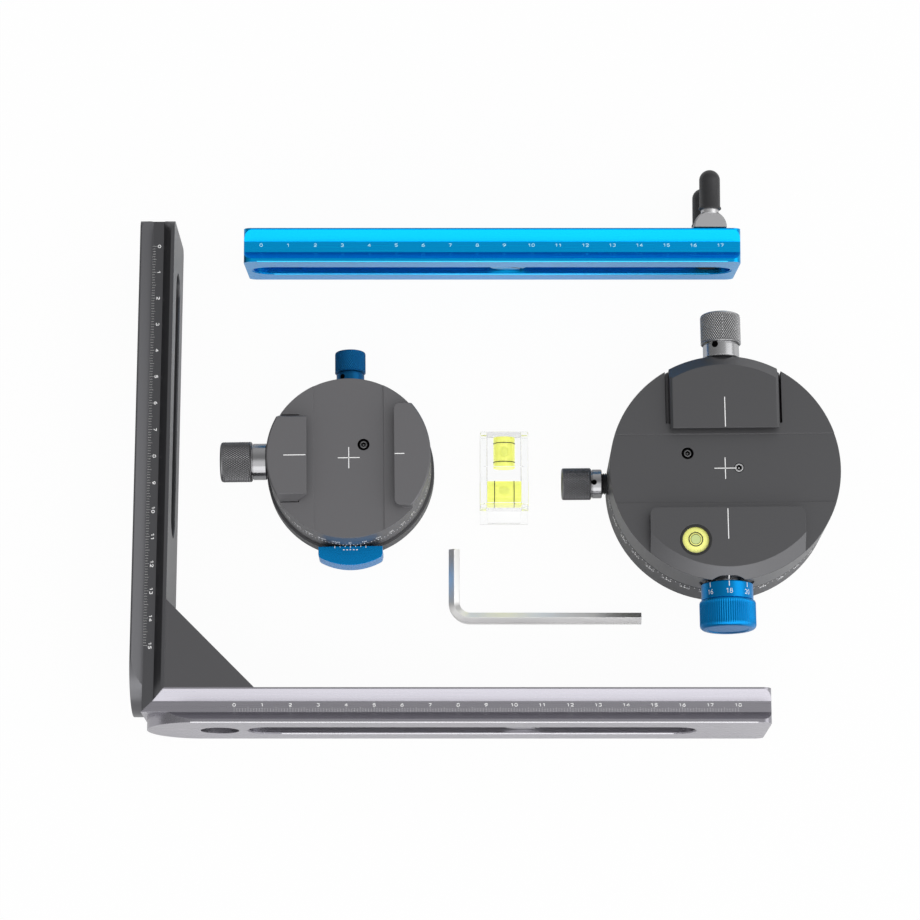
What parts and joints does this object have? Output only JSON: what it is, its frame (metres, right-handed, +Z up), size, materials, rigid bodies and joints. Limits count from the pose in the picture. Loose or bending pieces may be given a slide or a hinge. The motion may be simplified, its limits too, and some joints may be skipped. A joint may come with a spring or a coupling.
{
  "type": "panoramic tripod head",
  "caption": "Panoramic tripod head laid out as a kit: indexing rotator and small rotator with dovetail clamps, L-bracket, nodal rail with hand screw, bubble level and hexagon key.",
  "frame": {"origin": "mouth of the large rotator's tripod socket, on the surface that the kit lies on", "axes": "+Z up, +X along the lower arm towards the large rotator's side, +Y from the lower arm towards the nodal rail"},
  "size_m": [0.2566, 0.2122, 0.0439],
  "materials": {
    "dark_anodised": "satin dark grey anodised",
    "arm_dark": "satin dark grey anodised",
    "arm_grey": "satin titanium grey anodised",
    "knob_grey": "knurled, dark grey anodised",
    "handle_grey": "satin grey anodised",
    "blue_anodised": "satin blue anodised",
    "steel": "machined",
    "black_steel": "black oxide",
    "bronze": "machined",
    "rubber": "matt",
    "chrome": "polished",
    "clear_acrylic": "clear, polished",
    "vial_liquid": "clear yellow-green",
    "black_plastic": "matt"
  },
  "bodies": {
    "pan_base": {"pan_base": "dark_anodised", "base_plate": "dark_anodised", "base_screws": "steel", "tripod_bush": "steel", "pan_bush": "bronze", "detent_ring": "steel"},
    "pan_deck": {"clamp_body": "dark_anodised", "spindle": "steel", "thrust_washer": "bronze", "brake_drum": "dark_anodised", "spindle_screw": "black_steel", "detent_pins": "steel", "guide_pins": "steel", "jaw_springs": "steel", "stop_screw": "black_steel", "centre_screw": "steel", "level_cup": "black_plastic", "level_vial": "vial_liquid"},
    "index_selector": {"index_knob": "blue_anodised", "index_camshaft": "steel"},
    "large_jaw": {"large_jaw": "dark_anodised"},
    "large_clamp_knob": {"clamp_knob": "knob_grey", "clamp_screw": "steel"},
    "pan_brake": {"brake_shoe": "bronze"},
    "pan_lock_knob": {"lock_knob": "knob_grey", "lock_screw": "black_steel"},
    "small_base": {"small_base": "dark_anodised", "small_spindle": "steel", "index_block": "blue_anodised", "index_block_screws": "black_steel"},
    "small_deck": {"small_deck": "dark_anodised", "retaining_ring": "dark_anodised", "small_washer": "bronze", "small_guide_pins": "steel", "small_jaw_springs": "steel", "small_stop_screw": "black_steel"},
    "small_jaw": {"small_jaw": "dark_anodised"},
    "small_clamp_knob": {"small_clamp_knob": "knob_grey", "small_clamp_screw": "steel"},
    "small_brake": {"small_brake_shoe": "bronze"},
    "small_lock_knob": {"small_lock_knob": "blue_anodised", "small_lock_screw": "steel"},
    "bracket": {"lower_arm": "arm_grey", "upright_arm": "arm_dark", "corner_gusset": "arm_dark", "corner_screws": "steel"},
    "bracket_carriage": {"bracket_washer": "bronze"},
    "bracket_screw": {"bracket_screw": "steel"},
    "nodal_rail": {"nodal_rail": "blue_anodised"},
    "rail_carriage": {"rail_washer": "bronze"},
    "rail_screw": {"rail_screw": "steel"},
    "hand_screw_carriage": {"handle_washer": "steel"},
    "hand_screw": {"handle_bar": "handle_grey", "handle_stud": "steel", "handle_posts": "steel", "handle_caps": "rubber"},
    "bubble_level": {"level_block": "clear_acrylic", "level_vials": "vial_liquid"},
    "hex_key": {"hex_key": "chrome"}
  },
  "joints": [
    {"name": "pan", "type": "hinge", "parent": "pan_base", "child": "pan_deck", "pos_m": [0, 0, 0.02], "axis": [0, 0, 1], "continuous": true},
    {"name": "index_select", "type": "hinge", "parent": "pan_deck", "child": "index_selector", "pos_m": [0.00039, -0.05, 0.0296], "axis": [0.0079, -1, 0], "continuous": true},
    {"name": "large_jaw_travel", "type": "slide", "parent": "pan_deck", "child": "large_jaw", "axis": [-0.0079, 1, 0], "range_m": [0, 0.0085]},
    {"name": "large_clamp_turn", "type": "hinge", "parent": "large_jaw", "child": "large_clamp_knob", "pos_m": [-0.00039, 0.05, 0.0325], "axis": [-0.0079, 1, 0], "range_deg": [0, 1531]},
    {"name": "pan_brake_travel", "type": "slide", "parent": "pan_base", "child": "pan_brake", "axis": [1, 0.0079, 0], "range_m": [0, 0.0004]},
    {"name": "pan_lock_turn", "type": "hinge", "parent": "pan_brake", "child": "pan_lock_knob", "pos_m": [-0.05, -0.00039, 0.0132], "axis": [1, 0.0079, 0], "range_deg": [0, 144.5]},
    {"name": "small_rotator_lift", "type": "slide", "parent": "pan_base", "child": "small_base", "axis": [0, 0, 1], "range_m": [0, 0.05]},
    {"name": "small_pan", "type": "hinge", "parent": "small_base", "child": "small_deck", "pos_m": [-0.137, 0.0049, 0.02], "axis": [0, 0, 1], "continuous": true},
    {"name": "small_jaw_travel", "type": "slide", "parent": "small_deck", "child": "small_jaw", "axis": [-0.9999, -0.014, 0], "range_m": [0, 0.007]},
    {"name": "small_clamp_turn", "type": "hinge", "parent": "small_jaw", "child": "small_clamp_knob", "pos_m": [-0.177, 0.00434, 0.028], "axis": [-0.9999, -0.014, 0], "range_deg": [0, 1261]},
    {"name": "small_brake_travel", "type": "slide", "parent": "small_base", "child": "small_brake", "axis": [0.014, -0.9999, 0], "range_m": [0, 0.0004]},
    {"name": "small_lock_turn", "type": "hinge", "parent": "small_brake", "child": "small_lock_knob", "pos_m": [-0.13756, 0.0449, 0.0088], "axis": [0.014, -0.9999, 0], "range_deg": [0, 144.5]},
    {"name": "bracket_lift", "type": "slide", "parent": "pan_base", "child": "bracket", "axis": [0, 0, 1], "range_m": [0, 0.05]},
    {"name": "bracket_screw_travel", "type": "slide", "parent": "bracket", "child": "bracket_carriage", "axis": [1, 0, 0], "range_m": [-0.0915, 0.0545]},
    {"name": "bracket_screw_turn", "type": "hinge", "parent": "bracket_carriage", "child": "bracket_screw", "pos_m": [-0.0737, -0.087, 0.019], "axis": [0, 1, 0], "continuous": true},
    {"name": "rail_lift", "type": "slide", "parent": "pan_base", "child": "nodal_rail", "axis": [0, 0, 1], "range_m": [0, 0.05]},
    {"name": "rail_screw_travel", "type": "slide", "parent": "nodal_rail", "child": "rail_carriage", "axis": [1, 0, 0], "range_m": [-0.088, 0.03]},
    {"name": "rail_screw_turn", "type": "hinge", "parent": "rail_carriage", "child": "rail_screw", "pos_m": [-0.0784, 0.08641, 0.0196], "axis": [0, 0.9921, 0.1256], "continuous": true},
    {"name": "hand_screw_travel", "type": "slide", "parent": "nodal_rail", "child": "hand_screw_carriage", "axis": [1, 0, 0], "range_m": [-0.025, 0.0012]},
    {"name": "hand_screw_turn", "type": "hinge", "parent": "hand_screw_carriage", "child": "hand_screw", "pos_m": [-0.0039, 0.09236, 0.02036], "axis": [0, 0.9921, 0.1256], "continuous": true},
    {"name": "level_lift", "type": "slide", "parent": "pan_base", "child": "bubble_level", "axis": [0, 0, 1], "range_m": [0, 0.05]},
    {"name": "hex_key_lift", "type": "slide", "parent": "pan_base", "child": "hex_key", "axis": [0, 0, 1], "range_m": [0, 0.05]}
  ],
  "couplings": [
    {"joint": "large_clamp_turn", "follows": "large_jaw_travel", "rad_per_m": 3141.6},
    {"joint": "small_clamp_turn", "follows": "small_jaw_travel", "rad_per_m": 3141.6},
    {"joint": "pan_lock_turn", "follows": "pan_brake_travel", "rad_per_m": 6283.2},
    {"joint": "small_lock_turn", "follows": "small_brake_travel", "rad_per_m": 6283.2}
  ]
}
